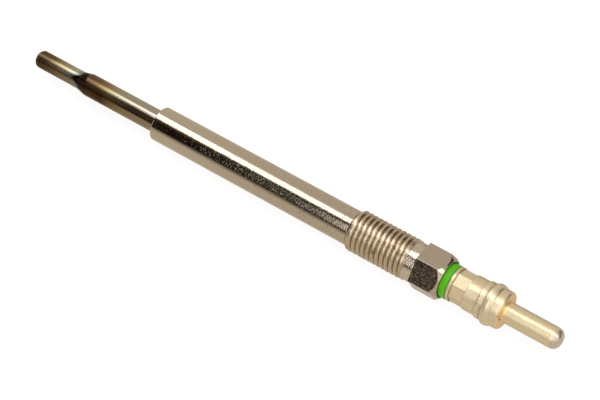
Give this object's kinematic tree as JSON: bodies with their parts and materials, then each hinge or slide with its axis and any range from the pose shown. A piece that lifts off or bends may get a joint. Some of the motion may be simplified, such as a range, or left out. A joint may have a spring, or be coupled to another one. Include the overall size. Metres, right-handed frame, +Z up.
{
  "type": "diesel glow plug",
  "caption": "Slim sheathed diesel glow plug: swaged heater tube, long plain shank, fine-thread and hexagon housing, insulating ring and plug-in pin terminal.",
  "frame": {"origin": "on the plug's axis, at the front face of the shank", "axes": "+X along the axis towards the contact pin, +Z up with two flats of the hexagon level, as the plug lies on a table"},
  "size_m": [0.1169, 0.0092, 0.008],
  "materials": {
    "nickel_plated_steel": "satin nickel plating with fine specks",
    "tempered_nickel_alloy": "polished, with heat tints from gold to dark brown at the tip",
    "green_plastic": "smooth moulded plastic",
    "terminal_plating": "pale satin plating",
    "electrode_steel": "turned",
    "seal_rubber": "matte",
    "resistance_wire": "drawn wire",
    "magnesia": "compacted powder"
  },
  "bodies": {
    "root": {"housing": "nickel_plated_steel", "glow_tube": "tempered_nickel_alloy", "insulating_ring": "green_plastic", "terminal": "terminal_plating", "centre_electrode": "electrode_steel", "electrode_seal": "seal_rubber", "tube_seal": "seal_rubber", "heater_coil": "resistance_wire", "control_coil": "resistance_wire", "magnesia_filling": "magnesia"}
  },
  "joints": []
}
